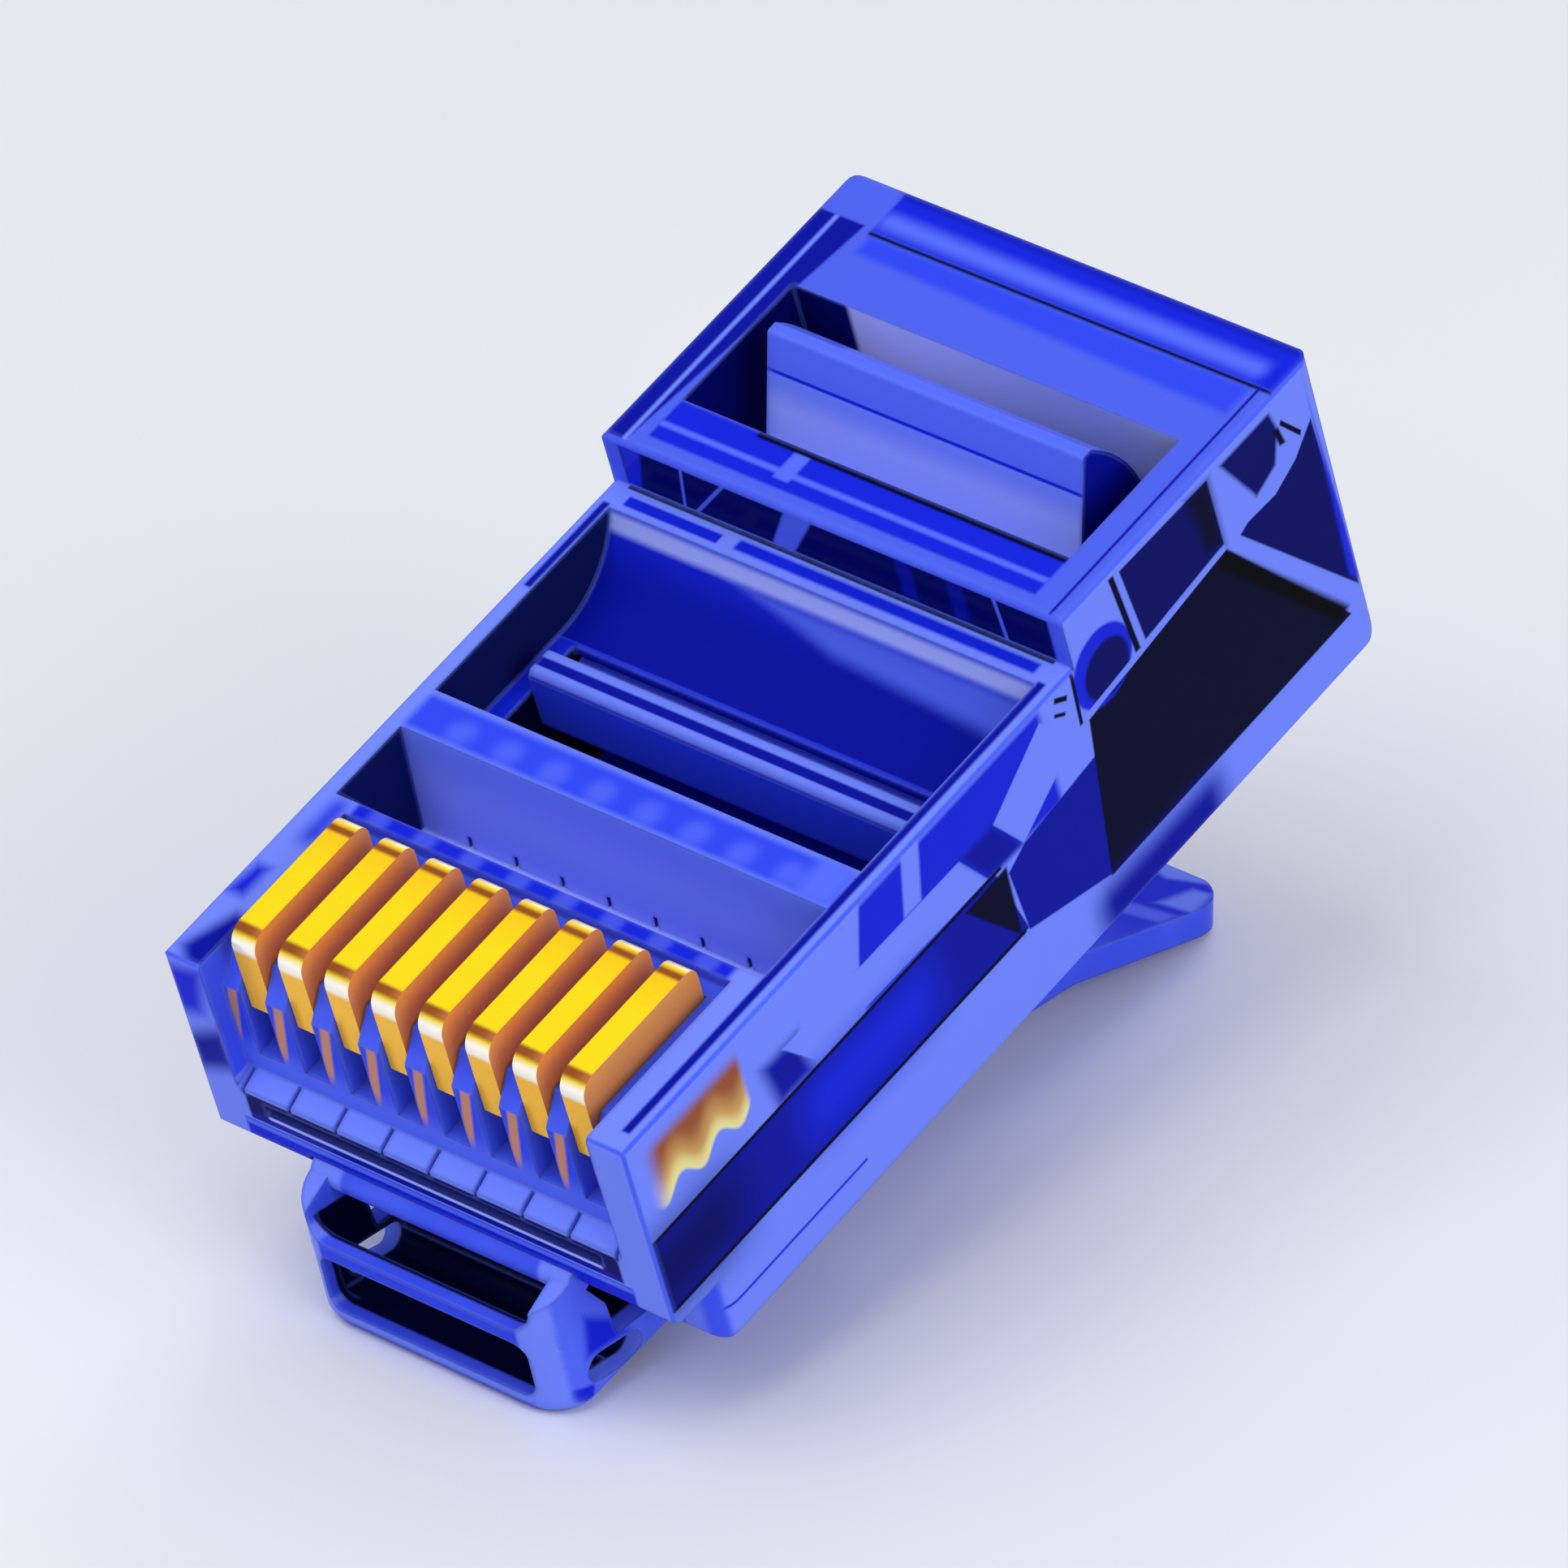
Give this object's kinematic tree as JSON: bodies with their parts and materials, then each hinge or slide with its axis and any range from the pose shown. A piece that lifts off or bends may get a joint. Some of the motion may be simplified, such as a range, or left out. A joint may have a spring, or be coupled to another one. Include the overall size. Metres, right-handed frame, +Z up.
{
  "type": "rj45 modular plug",
  "caption": "See-through blue modular plug with gold contacts, a sprung latch and crimp bars, lying on its latch.",
  "frame": {"origin": "on the surface that the plug lies on, under the middle of its box", "axes": "+Z up, +Y from the nose towards the cable end, level with the surface, +X across the plug; the housing is tilted up 18.4 degrees towards the cable end, because the plug lies on its latch"},
  "size_m": [0.0116, 0.0246, 0.0162],
  "materials": {
    "clear_blue": "clear, polished",
    "contact_gold": "gold plated, bright"
  },
  "bodies": {
    "housing": {"housing": "clear_blue"},
    "latch": {"latch_tab": "clear_blue"},
    "cable_clamp": {"cable_clamp": "clear_blue"},
    "conductor_clamp": {"conductor_clamp": "clear_blue"},
    "contact_1": {"contact_1": "contact_gold"},
    "contact_2": {"contact_2": "contact_gold"},
    "contact_3": {"contact_3": "contact_gold"},
    "contact_4": {"contact_4": "contact_gold"},
    "contact_5": {"contact_5": "contact_gold"},
    "contact_6": {"contact_6": "contact_gold"},
    "contact_7": {"contact_7": "contact_gold"},
    "contact_8": {"contact_8": "contact_gold"}
  },
  "joints": [
    {"name": "latch_flex", "type": "hinge", "parent": "housing", "child": "latch", "pos_m": [0, -0.01063, 0.0032], "axis": [1, 0, 0], "range_deg": [0, 15], "stiffness_Nm_per_rad": 0.3},
    {"name": "cable_clamp_turn", "type": "hinge", "parent": "housing", "child": "cable_clamp", "pos_m": [0, 0.00281, 0.01236], "axis": [-1, 0, 0], "range_deg": [0, 24]},
    {"name": "conductor_clamp_turn", "type": "hinge", "parent": "housing", "child": "conductor_clamp", "pos_m": [0, -0.0008, 0.00958], "axis": [1, 0, 0], "range_deg": [0, 24]},
    {"name": "contact_1_crimp", "type": "slide", "parent": "housing", "child": "contact_1", "axis": [0, 0.3156, -0.9489], "range_m": [0, 0.0011]},
    {"name": "contact_2_crimp", "type": "slide", "parent": "housing", "child": "contact_2", "axis": [0, 0.3156, -0.9489], "range_m": [0, 0.0011]},
    {"name": "contact_3_crimp", "type": "slide", "parent": "housing", "child": "contact_3", "axis": [0, 0.3156, -0.9489], "range_m": [0, 0.0011]},
    {"name": "contact_4_crimp", "type": "slide", "parent": "housing", "child": "contact_4", "axis": [0, 0.3156, -0.9489], "range_m": [0, 0.0011]},
    {"name": "contact_5_crimp", "type": "slide", "parent": "housing", "child": "contact_5", "axis": [0, 0.3156, -0.9489], "range_m": [0, 0.0011]},
    {"name": "contact_6_crimp", "type": "slide", "parent": "housing", "child": "contact_6", "axis": [0, 0.3156, -0.9489], "range_m": [0, 0.0011]},
    {"name": "contact_7_crimp", "type": "slide", "parent": "housing", "child": "contact_7", "axis": [0, 0.3156, -0.9489], "range_m": [0, 0.0011]},
    {"name": "contact_8_crimp", "type": "slide", "parent": "housing", "child": "contact_8", "axis": [0, 0.3156, -0.9489], "range_m": [0, 0.0011]}
  ],
  "couplings": [
    {"joint": "contact_2_crimp", "follows": "contact_1_crimp", "ratio": 1},
    {"joint": "contact_3_crimp", "follows": "contact_1_crimp", "ratio": 1},
    {"joint": "contact_4_crimp", "follows": "contact_1_crimp", "ratio": 1},
    {"joint": "contact_5_crimp", "follows": "contact_1_crimp", "ratio": 1},
    {"joint": "contact_6_crimp", "follows": "contact_1_crimp", "ratio": 1},
    {"joint": "contact_7_crimp", "follows": "contact_1_crimp", "ratio": 1},
    {"joint": "contact_8_crimp", "follows": "contact_1_crimp", "ratio": 1}
  ]
}
